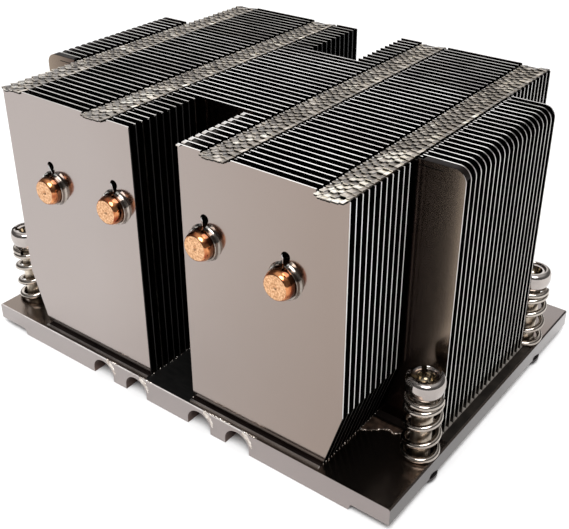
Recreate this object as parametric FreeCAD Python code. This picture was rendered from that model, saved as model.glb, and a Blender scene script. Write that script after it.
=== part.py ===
# Passive 2U server CPU heatsink, millimetres.
# Origin: centre of the CPU contact face. +X along the airflow, +Z up, away from the CPU.
# A nickel plated base carries four U shaped heat pipes, 43 rows of folded fins and four spring screws.

import FreeCAD, Part
import math
import os

Vector = FreeCAD.Vector

# Base plate
plate_length = 108.0
plate_depth = 78.0
plate_thickness = 5.2
flange_thickness = 3.75
flange_overhang = 8.1
contact_step_slope = 0.65
plate_edge_chamfer = 0.3

# Heat pipes: one U shape for all four, tilted outwards about its lower leg
pipe_diameter = 6.0
pipe_sides = 12
pipe_leg_spacing = 42.5
pipe_bend_radius = 12.0
pipe_bend_steps = 3
pipe_groove_offsets = [9.0, 19.0]
pipe_tip_offsets = [11.5, 29.65]
pipe_axis_height = 1.2
pipe_groove_clearance = 0.05
pipe_slot_clearance = 0.3
pipe_front_setback = 7.0
pipe_rear_margin = 0.8
pipe_tip_reach = 2.9
pipe_tip_taper = 1.2
pipe_tip_diameter = 4.8

# Fins
fin_row_count = 43
narrow_row_count = 11
fin_thickness = 0.4
fin_height = 56.4
first_fin_setback = 1.9
last_fin_setback = 0.52
block_inner_offset = 6.1
block_side_margin = 11.8
block_chamfer_width = 4.1
block_chamfer_height = 13.1
wide_fin_side_margin = 2.2
wide_fin_screw_gap = 0.36
wide_fin_corner_radius = 4.5
wide_fin_corner_steps = 2
fin_hole_clearance = 0.1
fin_hole_sides = 4
fold_clearance = 0.05
slot_web_height = 24.0

# Round openings are drawn with this many flats
round_sides = 12

# Interlocking tab strips along the fin tops
strip_width = 5.6
inner_strip_offset = 12.2
tab_taper = 0.7

# Collars and keyhole slots of the front fin
collar_length = 1.0
collar_wall = 0.35
keyhole_width = 1.2
keyhole_height = 2.6

# Spring screws: the right pair stands just clear of the wide fins, the left pair nearer the corners
screw_side_margin = 3.4
left_screw_end_margin = 8.0
screw_diameter = 4.0
screw_hole_clearance = 0.2
screw_sides = 12
screw_hole_sides = 12
screw_head_diameter = 7.5
screw_head_height = 4.4
screw_head_foot_diameter = 6.2
screw_head_foot_height = 1.9
screw_head_shoulder = 1.6
screw_head_top_diameter = 5.2
screw_head_bottom = 13.9
screw_tip_clearance = 0.15
recess_length = 3.6
recess_width = 0.9
recess_depth = 2.0

# Springs under the screw heads
spring_outer_diameter = 7.7
spring_wire_diameter = 1.15
spring_open_turns = 3.6
spring_lower_closed_turns = 0.4
spring_upper_closed_turns = 0.65
spring_steps_per_turn = 7
spring_start_angle = 146.0
spring_end_gap = 0.1

# Retaining rings in the screw grooves, under the flange
ring_diameter = 7.9
ring_thickness = 0.6
ring_gap = 0.1
ring_groove_depth = 0.35
ring_running_clearance = 0.05
ring_mouth = 2.6

# How far cutting tools run past the faces they cut
cut_margin = 1.0

# Levels and places worked out from the sizes
flange_bottom = plate_thickness - flange_thickness
plate_top = plate_thickness
fin_top = plate_top + fin_height
front_edge = -plate_depth / 2
rear_edge = plate_depth / 2
pipe_radius = pipe_diameter / 2
front_fin_face = front_edge + first_fin_setback
fin_pitch = (plate_depth - first_fin_setback - last_fin_setback - fin_thickness) / (fin_row_count - 1)
block_outer_offset = plate_length / 2 - block_side_margin
wide_fin_half_length = plate_length / 2 - wide_fin_side_margin
first_wide_row = narrow_row_count
last_wide_row = fin_row_count - 1 - narrow_row_count
wide_bank_front = front_fin_face + fin_pitch * first_wide_row
wide_bank_back = front_fin_face + fin_pitch * last_wide_row + fin_thickness
left_screw_offset_y = plate_depth / 2 - left_screw_end_margin
right_screw_offset_y = max(-wide_bank_front, wide_bank_back) + wide_fin_screw_gap + spring_outer_diameter / 2
screw_offset_x = plate_length / 2 - screw_side_margin
riser_y = rear_edge - pipe_rear_margin - pipe_radius
bend_start_y = riser_y - pipe_bend_radius
outer_strip_offset = block_outer_offset - strip_width
ring_top = flange_bottom - ring_gap
screw_places = [
    (-screw_offset_x, -left_screw_offset_y),
    (screw_offset_x, -right_screw_offset_y),
    (screw_offset_x, right_screw_offset_y),
    (-screw_offset_x, left_screw_offset_y),
]


def polygon_face(points):
    """A flat face inside a closed outline."""
    return Part.Face(Part.makePolygon(points + [points[0]]))


def prism_y(outline, y_low, depth):
    """Extrude an outline of (x, z) points along Y."""
    face = polygon_face([Vector(x, y_low, z) for x, z in outline])
    return face.extrude(Vector(0, depth, 0))


def prism_z(outline, z_low, height):
    """Extrude an outline of (x, y) points along Z."""
    face = polygon_face([Vector(x, y, z_low) for x, y in outline])
    return face.extrude(Vector(0, 0, height))


def box(x_range, y_range, z_range):
    """A block between three pairs of limits."""
    corner = Vector(x_range[0], y_range[0], z_range[0])
    return Part.makeBox(x_range[1] - x_range[0], y_range[1] - y_range[0], z_range[1] - z_range[0], corner)


def regular_polygon(sides, radius):
    """Corners of a regular polygon as (u, v) pairs, with a flat side facing +v."""
    turns = [(index + 0.5) / sides for index in range(sides)]
    return [(radius * math.sin(2 * math.pi * t), radius * math.cos(2 * math.pi * t)) for t in turns]


def mirrored(outline, side):
    """An outline drawn for the +X half, turned to the chosen side."""
    return [(side * x, z) for x, z in outline]


def faceted_solid(rings, triangles=False):
    """Solid between a row of similar polygons. Twisted side faces are made as pairs of triangles."""
    faces = [polygon_face(rings[0]), polygon_face(rings[-1])]
    for lower, upper in zip(rings, rings[1:]):
        for index in range(len(lower)):
            following = (index + 1) % len(lower)
            corners = [lower[index], lower[following], upper[following], upper[index]]
            if triangles:
                faces.append(polygon_face(corners[:3]))
                faces.append(polygon_face([corners[0], corners[2], corners[3]]))
            else:
                faces.append(polygon_face(corners))
    return Part.makeSolid(Part.makeShell(faces))


def round_prism_y(x, z, radius, y_range):
    """Many sided bar along Y whose flats touch a round of the given radius."""
    corner_radius = radius / math.cos(math.pi / round_sides)
    outline = [(x + u, z + v) for u, v in regular_polygon(round_sides, corner_radius)]
    return prism_y(outline, y_range[0], y_range[1] - y_range[0])


def pipe_tip_place(pipe):
    """Offset and height of the upper leg: the U tilts until its top reaches the tip offset."""
    sideways = pipe_tip_offsets[pipe] - pipe_groove_offsets[pipe]
    rise = math.sqrt(pipe_leg_spacing ** 2 - sideways ** 2)
    return pipe_tip_offsets[pipe], pipe_axis_height + rise


def pipe_tilt(pipe):
    """Unit vector (x, z) from the lower leg to the upper leg."""
    tip_x, tip_z = pipe_tip_place(pipe)
    sideways = tip_x - pipe_groove_offsets[pipe]
    return sideways / pipe_leg_spacing, (tip_z - pipe_axis_height) / pipe_leg_spacing


def faceted_sweep(path, start_direction, profile):
    """Sweep a polygon profile of (u, v) points along a path of straight runs with mitred corners."""
    direction = start_direction.normalize()
    side = direction.cross(Vector(0, 0, 1)).normalize()
    above = side.cross(direction)
    corners = [path[0] + side * u + above * v for u, v in profile]
    sweep = Part.BRepOffsetAPI.MakePipeShell(Part.makePolygon(path))
    sweep.setTransitionMode(1)
    sweep.setFrenetMode(False)
    sweep.add(Part.makePolygon(corners + [corners[0]]))
    sweep.build()
    sweep.makeSolid()
    return sweep.shape()


def pipe_bend_points(pipe, side):
    """Axis of one U pipe, from the lower leg's front end to the start of its tip."""
    lean_x, lean_z = pipe_tilt(pipe)

    def place(along_y, up_the_u):
        x = side * (pipe_groove_offsets[pipe] + lean_x * up_the_u)
        return Vector(x, along_y, pipe_axis_height + lean_z * up_the_u)

    radius = pipe_bend_radius
    corner_radius = radius / math.cos(math.pi / 4 / pipe_bend_steps)
    points = [place(front_edge + pipe_front_setback, 0)]
    for step in range(pipe_bend_steps):
        angle = math.pi / 2 * (step + 0.5) / pipe_bend_steps
        points.append(place(bend_start_y + corner_radius * math.sin(angle), radius - corner_radius * math.cos(angle)))
    for step in range(pipe_bend_steps):
        angle = math.pi / 2 * (step + 0.5) / pipe_bend_steps
        up = pipe_leg_spacing - radius + corner_radius * math.sin(angle)
        points.append(place(bend_start_y + corner_radius * math.cos(angle), up))
    points.append(place(front_fin_face - pipe_tip_reach + pipe_tip_taper, pipe_leg_spacing))
    return points


def heat_pipe(pipe, side):
    """A U pipe with a pressed tip, milled flush with the contact face along its lower leg."""
    profile = regular_polygon(pipe_sides, pipe_radius)
    tube = faceted_sweep(pipe_bend_points(pipe, side), Vector(0, 1, 0), profile)
    tip_x, tip_z = pipe_tip_place(pipe)
    tip_y = front_fin_face - pipe_tip_reach
    rings = []
    for y, scale in ((tip_y + pipe_tip_taper, 1.0), (tip_y, pipe_tip_diameter / pipe_diameter)):
        rings.append([Vector(side * tip_x + u * scale, y, tip_z + v * scale) for u, v in profile])
    tip = faceted_solid(rings)
    below = box((-plate_length, plate_length), (-plate_depth, plate_depth), (-pipe_diameter, 0))
    return tube.fuse(tip).cut(below).removeSplitter()


def groove_cutter(offset):
    """Arch shaped groove along the underside, open downwards."""
    radius = pipe_radius + pipe_groove_clearance
    y_range = (front_edge - cut_margin, rear_edge + cut_margin)
    arch = round_prism_y(offset, pipe_axis_height, radius, y_range)
    walls = box((offset - radius, offset + radius), y_range, (-cut_margin, pipe_axis_height))
    return arch.fuse(walls).removeSplitter()


def rear_slot_cutter(pipe, side):
    """Slot through the plate's rear edge, where a pipe bends upwards."""
    lean_x, lean_z = pipe_tilt(pipe)
    half_width = pipe_radius + pipe_slot_clearance
    drift = (plate_top - pipe_axis_height) * lean_x / lean_z
    near = pipe_groove_offsets[pipe] - half_width
    far = pipe_groove_offsets[pipe] + drift + half_width
    limits = sorted((side * near, side * far))
    y_range = (bend_start_y - pipe_slot_clearance, rear_edge + cut_margin)
    return box(limits, y_range, (-cut_margin, plate_top + cut_margin))


def base_plate():
    """Flanged plate with a thicker middle that presses on the CPU."""
    half = plate_length / 2
    step_top = half - flange_overhang
    step_bottom = step_top - contact_step_slope
    edge = plate_edge_chamfer
    outline = [
        (-half, flange_bottom), (-step_top, flange_bottom), (-step_bottom, 0),
        (step_bottom, 0), (step_top, flange_bottom), (half, flange_bottom),
        (half, plate_top - edge), (half - edge, plate_top), (edge - half, plate_top), (-half, plate_top - edge),
    ]
    plate = prism_y(outline, front_edge, plate_depth)
    cutters = []
    for side in (-1, 1):
        for pipe, offset in enumerate(pipe_groove_offsets):
            cutters.append(groove_cutter(side * offset))
            cutters.append(rear_slot_cutter(pipe, side))
    hole_radius = (screw_diameter / 2 + screw_hole_clearance) / math.cos(math.pi / screw_hole_sides)
    for x, y in screw_places:
        outline = [(x + u, y + v) for u, v in regular_polygon(screw_hole_sides, hole_radius)]
        cutters.append(prism_z(outline, flange_bottom - cut_margin, flange_thickness + 2 * cut_margin))
    return plate.cut(Part.makeCompound(cutters)).removeSplitter()


def tab_prism(inner_offset, side, face_y):
    """One folded tab: it reaches forward from the fin top and tapers towards the fin in front."""
    reach = fin_pitch - fin_thickness - fold_clearance
    front = face_y - reach
    back = face_y + fin_thickness
    outer_offset = inner_offset + strip_width
    outline = [
        (side * inner_offset, back), (side * inner_offset, face_y), (side * (inner_offset + tab_taper), front),
        (side * (outer_offset - tab_taper), front), (side * outer_offset, face_y), (side * outer_offset, back),
    ]
    return prism_z(outline, fin_top - fin_thickness, fin_thickness)


def pipe_hole_prism(pipe, side, face_y):
    """Opening for an upper pipe leg, with flats that clear the round pipe."""
    tip_x, tip_z = pipe_tip_place(pipe)
    flat_radius = pipe_radius + fin_hole_clearance
    corner_radius = flat_radius / math.cos(math.pi / fin_hole_sides)
    outline = [(side * tip_x + u, tip_z + v) for u, v in regular_polygon(fin_hole_sides, corner_radius)]
    return prism_y(outline, face_y - cut_margin, fin_thickness + 2 * cut_margin)


def rear_slot_prism(pipe, side, face_y):
    """Leaning slot from the fin's foot up round the pipe, for the rows at the U bends."""
    lean_x, lean_z = pipe_tilt(pipe)
    half = pipe_radius + pipe_slot_clearance
    tip_x, tip_z = pipe_tip_place(pipe)
    foot = plate_top - cut_margin
    run_down = (tip_z - foot) / lean_z + half

    def place(across, up):
        return tip_x + lean_z * across + lean_x * up, tip_z - lean_x * across + lean_z * up

    outline = [
        place(-half, -run_down), place(-half, half / 2), place(0, half * 1.2), place(half, half / 2),
        place(half, -run_down),
    ]
    return prism_y(mirrored(outline, side), face_y - cut_margin, fin_thickness + 2 * cut_margin)


def notch_relief_prism(side, face_y):
    """Removes the thin foot between the inner rear slot and the middle notch."""
    inner = block_inner_offset - cut_margin
    centre = pipe_groove_offsets[0]
    outline = [
        (inner, plate_top - cut_margin), (centre, plate_top - cut_margin),
        (pipe_tip_offsets[0], plate_top + slot_web_height), (inner, plate_top + slot_web_height - inner),
    ]
    return prism_y(mirrored(outline, side), face_y - cut_margin, fin_thickness + 2 * cut_margin)


def narrow_outline():
    """Fin of the +X block: a tall plate whose lower outer corner clears the springs."""
    return [
        (block_inner_offset, plate_top), (block_outer_offset - block_chamfer_width, plate_top),
        (block_outer_offset, plate_top + block_chamfer_height), (block_outer_offset, fin_top),
        (block_inner_offset, fin_top),
    ]


def wide_outline():
    """Full length fin with rounded upper corners."""
    radius = wide_fin_corner_radius
    centre_x = wide_fin_half_length - radius
    centre_z = fin_top - radius
    right = [(wide_fin_half_length, plate_top)]
    for step in range(wide_fin_corner_steps + 1):
        angle = math.pi / 2 * step / wide_fin_corner_steps
        right.append((centre_x + radius * math.cos(angle), centre_z + radius * math.sin(angle)))
    left = [(-x, z) for x, z in reversed(right)]
    return right + left


def front_flange(side, face_y):
    """Foot of the front fin, folded forward onto the plate."""
    reach = fin_pitch - fin_thickness - fold_clearance
    limits = sorted((side * block_inner_offset, side * (block_outer_offset - block_chamfer_width)))
    return box(limits, (face_y - reach, face_y + fin_thickness), (plate_top, plate_top + fin_thickness))


def front_collar(pipe, side, face_y):
    """Drawn collar round a pipe: the part to add to the front fin."""
    tip_x, tip_z = pipe_tip_place(pipe)
    outer = pipe_radius + fin_hole_clearance + collar_wall
    return round_prism_y(side * tip_x, tip_z, outer, (face_y - collar_length, face_y + fin_thickness))


def front_keyhole(pipe, side, face_y):
    """Round pipe hole with the narrow slot above it: the part to cut from the front fin."""
    tip_x, tip_z = pipe_tip_place(pipe)
    y_range = (face_y - collar_length - cut_margin, face_y + fin_thickness + cut_margin)
    hole = round_prism_y(side * tip_x, tip_z, pipe_radius + fin_hole_clearance, y_range)
    half = keyhole_width / 2
    slot_top = tip_z + pipe_radius + keyhole_height
    slot = box((side * tip_x - half, side * tip_x + half), y_range, (tip_z, slot_top))
    return hole.fuse(slot).removeSplitter()


def fin_plate(outline, sides, row):
    """One fin: the flat plate, its folded tabs and its pipe openings."""
    face_y = front_fin_face + fin_pitch * row
    at_bend = face_y + fin_thickness > bend_start_y - pipe_slot_clearance
    plate = prism_y(outline, face_y, fin_thickness)
    tabs = [tab_prism(offset, side, face_y) for side in sides for offset in (inner_strip_offset, outer_strip_offset)]
    openings = []
    for side in sides:
        for pipe in range(len(pipe_tip_offsets)):
            if row == 0:
                tabs.append(front_collar(pipe, side, face_y))
                openings.append(front_keyhole(pipe, side, face_y))
            elif at_bend:
                openings.append(rear_slot_prism(pipe, side, face_y))
            else:
                openings.append(pipe_hole_prism(pipe, side, face_y))
        if row == 0:
            tabs.append(front_flange(side, face_y))
        if at_bend and len(sides) == 1:
            openings.append(notch_relief_prism(side, face_y))
    return plate.fuse(tabs).cut(Part.makeCompound(openings)).removeSplitter()


def fin_row(row):
    """A row between the right screws is one wide fin, and a row at either end is a left and a right fin."""
    if first_wide_row <= row <= last_wide_row:
        return fin_plate(wide_outline(), (-1, 1), row)
    return Part.makeCompound([fin_plate(mirrored(narrow_outline(), side), (side,), row) for side in (-1, 1)])


def faceted_turning(levels):
    """Turned form of (height, diameter) levels, drawn with flat sided cones."""
    rings = []
    for z, diameter in levels:
        rings.append([Vector(u, v, z) for u, v in regular_polygon(screw_sides, diameter / 2)])
    return faceted_solid(rings).removeSplitter()


def spring_screw(x, y):
    """Captive screw: tip, ring groove, shank and a ball-like head with a cross recess."""
    groove_diameter = screw_diameter - 2 * ring_groove_depth
    groove_top = ring_top + ring_running_clearance
    groove_bottom = ring_top - ring_thickness - ring_running_clearance
    head_bottom = plate_top + screw_head_bottom
    head_top = head_bottom + screw_head_height
    shank = screw_diameter
    levels = [
        (screw_tip_clearance, shank), (groove_bottom, shank), (groove_bottom, groove_diameter),
        (groove_top, groove_diameter), (groove_top, shank), (head_bottom, shank),
        (head_bottom, screw_head_foot_diameter), (head_bottom + screw_head_foot_height, screw_head_diameter),
        (head_top - screw_head_shoulder, screw_head_diameter), (head_top, screw_head_top_diameter),
    ]
    screw = faceted_turning(levels)
    long = recess_length / 2
    thin = recess_width / 2
    depth_range = (head_top - recess_depth, head_top + cut_margin)
    recess = box((-long, long), (-thin, thin), depth_range).fuse(box((-thin, thin), (-long, long), depth_range))
    screw = screw.cut(recess).removeSplitter()
    screw.translate(Vector(x, y, 0))
    return screw


def spring(x, y):
    """Compression spring with closed ends, wound from square wire of the round wire's area."""
    wire_radius = spring_wire_diameter / 2
    wire_half_side = wire_radius * math.sqrt(math.pi) / 2
    coil_radius = spring_outer_diameter / 2 - wire_radius
    low = plate_top + wire_half_side
    high = plate_top + screw_head_bottom - spring_end_gap - wire_half_side
    total_turns = spring_lower_closed_turns + spring_open_turns + spring_upper_closed_turns
    steps = round(total_turns * spring_steps_per_turn)
    square = regular_polygon(4, wire_half_side * math.sqrt(2))
    sections = []
    for step in range(steps + 1):
        turn = total_turns * step / steps
        open_turn = min(max(turn - spring_lower_closed_turns, 0), spring_open_turns)
        angle = math.radians(spring_start_angle) + 2 * math.pi * turn
        z = low + (high - low) * open_turn / spring_open_turns
        section = []
        for u, v in square:
            radius = coil_radius + u
            section.append(Vector(x + radius * math.cos(angle), y + radius * math.sin(angle), z + v))
        sections.append(section)
    return faceted_solid(sections, triangles=True)


def retaining_ring(x, y):
    """Open snap ring that sits in the screw's groove under the flange."""
    inner_flats = screw_diameter - 2 * ring_groove_depth + 2 * ring_running_clearance
    inner_diameter = inner_flats / math.cos(math.pi / screw_sides)
    z_low = ring_top - ring_thickness
    disc = prism_z(regular_polygon(screw_sides, ring_diameter / 2), z_low, ring_thickness)
    cut_low = z_low - cut_margin
    cut_high = ring_top + cut_margin
    hole = prism_z(regular_polygon(screw_sides, inner_diameter / 2), cut_low, cut_high - cut_low)
    mouth = box((-ring_mouth / 2, ring_mouth / 2), (0, ring_diameter), (cut_low, cut_high))
    ring = disc.cut(hole.fuse(mouth)).removeSplitter()
    ring.rotate(Vector(0, 0, 0), Vector(0, 0, 1), 180 if y > 0 else 0)
    ring.translate(Vector(x, y, 0))
    return ring


def build():
    """Every sub-part under its own name."""
    nodes = {"base_plate": base_plate()}
    pipe_order = [(1, -1), (0, -1), (0, 1), (1, 1)]
    for number, (pipe, side) in enumerate(pipe_order, start=1):
        nodes[f"heat_pipe_{number}"] = heat_pipe(pipe, side)
    for row in range(fin_row_count):
        nodes[f"fin_row_{row + 1:02d}"] = fin_row(row)
    for number, (x, y) in enumerate(screw_places, start=1):
        nodes[f"spring_screw_{number}"] = spring_screw(x, y)
        nodes[f"spring_{number}"] = spring(x, y)
        nodes[f"retaining_ring_{number}"] = retaining_ring(x, y)
    return nodes


os.makedirs("parts", exist_ok=True)
for name, shape in build().items():
    shape.exportStep(f"parts/{name}.step")
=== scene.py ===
import math
import random

import bpy
from mathutils import Matrix, Vector
from mathutils.geometry import tessellate_polygon


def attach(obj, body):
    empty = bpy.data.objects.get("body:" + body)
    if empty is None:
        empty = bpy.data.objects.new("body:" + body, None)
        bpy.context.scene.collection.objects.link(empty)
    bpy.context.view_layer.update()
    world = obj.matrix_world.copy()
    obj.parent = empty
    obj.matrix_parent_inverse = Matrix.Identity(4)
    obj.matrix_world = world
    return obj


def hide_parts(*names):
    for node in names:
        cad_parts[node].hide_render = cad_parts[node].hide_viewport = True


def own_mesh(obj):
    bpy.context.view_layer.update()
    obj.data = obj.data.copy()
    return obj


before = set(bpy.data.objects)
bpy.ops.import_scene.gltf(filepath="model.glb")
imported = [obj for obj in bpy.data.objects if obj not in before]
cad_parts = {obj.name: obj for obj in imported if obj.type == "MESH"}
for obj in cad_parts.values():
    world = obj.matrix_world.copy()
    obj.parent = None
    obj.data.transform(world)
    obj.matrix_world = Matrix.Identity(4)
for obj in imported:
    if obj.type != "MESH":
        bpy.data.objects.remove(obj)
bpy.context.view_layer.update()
MM = 0.001
random.seed(7)

# Base plate, millimetres from the centre of the CPU contact face
PLATE_X, PLATE_Y, PLATE_Z = 54.0, 39.0, 5.2
PLATE_CHAMFER = 0.3
FLANGE_Z = 1.45
PAD_TOP, PAD_FOOT = 45.9, 45.25

# Heat pipes
PIPE_R = 3.0
PIPE_Z = 1.2
GROOVES = (9.0, 19.0)
GROOVE_XS = (-GROOVES[1], -GROOVES[0], GROOVES[0], GROOVES[1])
TIPS = (11.5, 29.65)
LEG = 42.5
BEND_R = 12.0
RISER_Y = 35.2
HOLE_R = PIPE_R + 0.1
KEYHOLE_R, KEYHOLE_RISE, KEYHOLE_NECK = 0.95, PIPE_R + 1.8, 0.66
SLOT_R = PIPE_R + 0.3
SLOT_FRONT = RISER_Y - BEND_R - 0.3
TIP_REACH = 2.9
# The four pipes from left to right, as (0 inner or 1 outer, side)
PIPES = [(1, -1), (0, -1), (0, 1), (1, 1)]

# Fins. FIN_SHOWN is the real sheet, and FIN_T the thicker one of the solids
ROWS = 43
FIRST_WIDE, LAST_WIDE = 11, 31
FIRST_FACE = -37.1
PITCH = 1.79
FIN_T, FIN_SHOWN = 0.4, 0.27
FIN_TOP = 61.6
BLOCK_IN, BLOCK_OUT = 6.1, 42.2
BLOCK_FOOT = BLOCK_OUT - 4.1
BLOCK_CHAMFER_Z = PLATE_Z + 13.1
WIDE_OUT, WIDE_R = 51.8, 2.4
WIDE_BANK = FIRST_FACE + PITCH * FIRST_WIDE
WEB_TOP = PLATE_Z + 24.0

# Tab strips along the fin tops, in the order of building
INNER_LEFT, LEFTMOST, INNER_RIGHT, RIGHTMOST = range(4)
STRIP_X = (-18.1, -42.2, 11.9, 36.3)
# Share of FIRST_STEPS by which each strip reaches past the front fin
FIRST_REACH = (0.55, 0.15, 0.7, 1.0)
# Steps of a tab's front edge, as (from, to) across and how far each stands before its fin
STEPS = [(-0.15, 0.85, 1.5), (0.85, 1.5, 2.3), (1.5, 2.5, 2.7), (2.5, 3.45, 2.1),
         (3.45, 4.8, 1.05), (4.8, 5.6, 1.35)]
FIRST_STEPS = [1.3, 1.85, 1.9, 1.85, 1.6, 1.35]
TAB_SLOPE = 0.19
TAB_OVERLAP = 0.25
TAB_GAP = 0.05
TAB_SHEET, TAB_SHADOW = 0.15, 0.28
# Where a fin's top edge drops below the tabs, by side, as (near, far) from the middle
STRIP_CUTS = {1: [(11.4, 18.15), (35.8, 42.6)], -1: [(11.85, 18.6), (36.25, 43.0)]}
CUT_DEPTH = 0.42
# How far out the cover line and the front flange of the first wide fin run, as (near, far)
COVER_LINE, WIDE_FLANGE = (42.8, 47.6), (38.3, 47.6)

# Spring screws: front left, front right, rear right, rear left
SCREWS = {1: (-50.6, -31.0), 2: (50.6, -23.0), 3: (50.6, 23.0), 4: (-50.6, 31.0)}
HEAD_Z = PLATE_Z + 13.9
SCREW_HOLE_R = 2.2
SHANK_R, SHANK_GROOVE_R = 2.0, 1.65
RING_IN_R, RING_OUT_R = 1.7, 3.78
RING_Z = (0.77, 1.35)
WIRE_R = 0.61
COIL_R = 3.8 - WIRE_R
# Height of the wire above the plate by turn
COIL_KNOTS = [(-0.45, 0.63), (-0.1, 0.65), (0.15, 0.9), (1.0, 4.3), (2.0, 8.45), (3.0, 11.8),
              (3.6, 12.95), (4.2, 13.18)]

# Camera: direction it looks from in degrees, place in millimetres, focus and centre in pixels
AZ, EL, ROLL = 38.26, 29.35, -0.61
CAMERA_AT = (110.4, -142.98, 125.94)
FOCAL = 920.5
CX, CY = 272.0, 236.2
FRAME_W, FRAME_H = 569, 529
SENSOR = 36


# Node materials
def new_material(name):
    mat = bpy.data.materials.new(name)
    mat.use_nodes = True
    tree = mat.node_tree
    return mat, tree, tree.nodes["Principled BSDF"]


def add_noise(tree, scale, detail, vector):
    noise = tree.nodes.new("ShaderNodeTexNoise")
    noise.inputs["Scale"].default_value = scale
    noise.inputs["Detail"].default_value = detail
    tree.links.new(vector, noise.inputs["Vector"])
    return noise


def add_ramp(tree, low, high, positions, value):
    """Colour between low and high, which are reached at the two positions."""
    ramp = tree.nodes.new("ShaderNodeValToRGB")
    for element, position, colour in zip(ramp.color_ramp.elements, positions, (low, high)):
        element.position = position
        element.color = (*colour, 1)
    tree.links.new(value, ramp.inputs["Fac"])
    return ramp


def noise_ramp(tree, scale, low, high, stretch=(1, 1, 1)):
    """Object-space noise mapped between two colours."""
    coords = tree.nodes.new("ShaderNodeTexCoord")
    mapping = tree.nodes.new("ShaderNodeMapping")
    mapping.inputs["Scale"].default_value = stretch
    tree.links.new(coords.outputs["Object"], mapping.inputs["Vector"])
    noise = add_noise(tree, scale, 4.0, mapping.outputs["Vector"])
    return noise, add_ramp(tree, low, high, (0.35, 0.65), noise.outputs["Fac"])


def metal(name, low, high, roughness, scale=200, stretch=(1, 1, 1), bump=0.0, metallic=1.0):
    """Metal whose colour drifts a little over the surface."""
    mat, tree, shader = new_material(name)
    noise, ramp = noise_ramp(tree, scale, low, high, stretch)
    tree.links.new(ramp.outputs["Color"], shader.inputs["Base Color"])
    shader.inputs["Metallic"].default_value = metallic
    shader.inputs["Roughness"].default_value = roughness
    if bump:
        relief = tree.nodes.new("ShaderNodeBump")
        relief.inputs["Strength"].default_value = bump
        relief.inputs["Distance"].default_value = 0.1 * MM
        tree.links.new(noise.outputs["Fac"], relief.inputs["Height"])
        tree.links.new(relief.outputs["Normal"], shader.inputs["Normal"])
    return mat


def drift_metal(name, low, high, span, roughness, absolute=False, scale=60, waver=0.12, axis="X"):
    """Metal whose colour runs from low to high along one axis, with a slight unevenness."""
    mat, tree, shader = new_material(name)
    coords = tree.nodes.new("ShaderNodeTexCoord")
    split = tree.nodes.new("ShaderNodeSeparateXYZ")
    tree.links.new(coords.outputs["Object"], split.inputs["Vector"])
    across = split.outputs[axis]
    if absolute:
        size = tree.nodes.new("ShaderNodeMath")
        size.operation = "ABSOLUTE"
        tree.links.new(across, size.inputs[0])
        across = size.outputs[0]
    spread = tree.nodes.new("ShaderNodeMapRange")
    spread.inputs["From Min"].default_value = span[0] * MM
    spread.inputs["From Max"].default_value = span[1] * MM
    tree.links.new(across, spread.inputs["Value"])
    noise = add_noise(tree, scale, 3.0, coords.outputs["Object"])
    blend = tree.nodes.new("ShaderNodeMath")
    blend.operation = "MULTIPLY_ADD"
    blend.inputs[1].default_value = waver
    tree.links.new(noise.outputs["Fac"], blend.inputs[0])
    tree.links.new(spread.outputs["Result"], blend.inputs[2])
    ramp = add_ramp(tree, low, high, (waver / 2, 1.0), blend.outputs[0])
    tree.links.new(ramp.outputs["Color"], shader.inputs["Base Color"])
    shader.inputs["Metallic"].default_value = 1.0
    shader.inputs["Roughness"].default_value = roughness
    return mat


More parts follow.
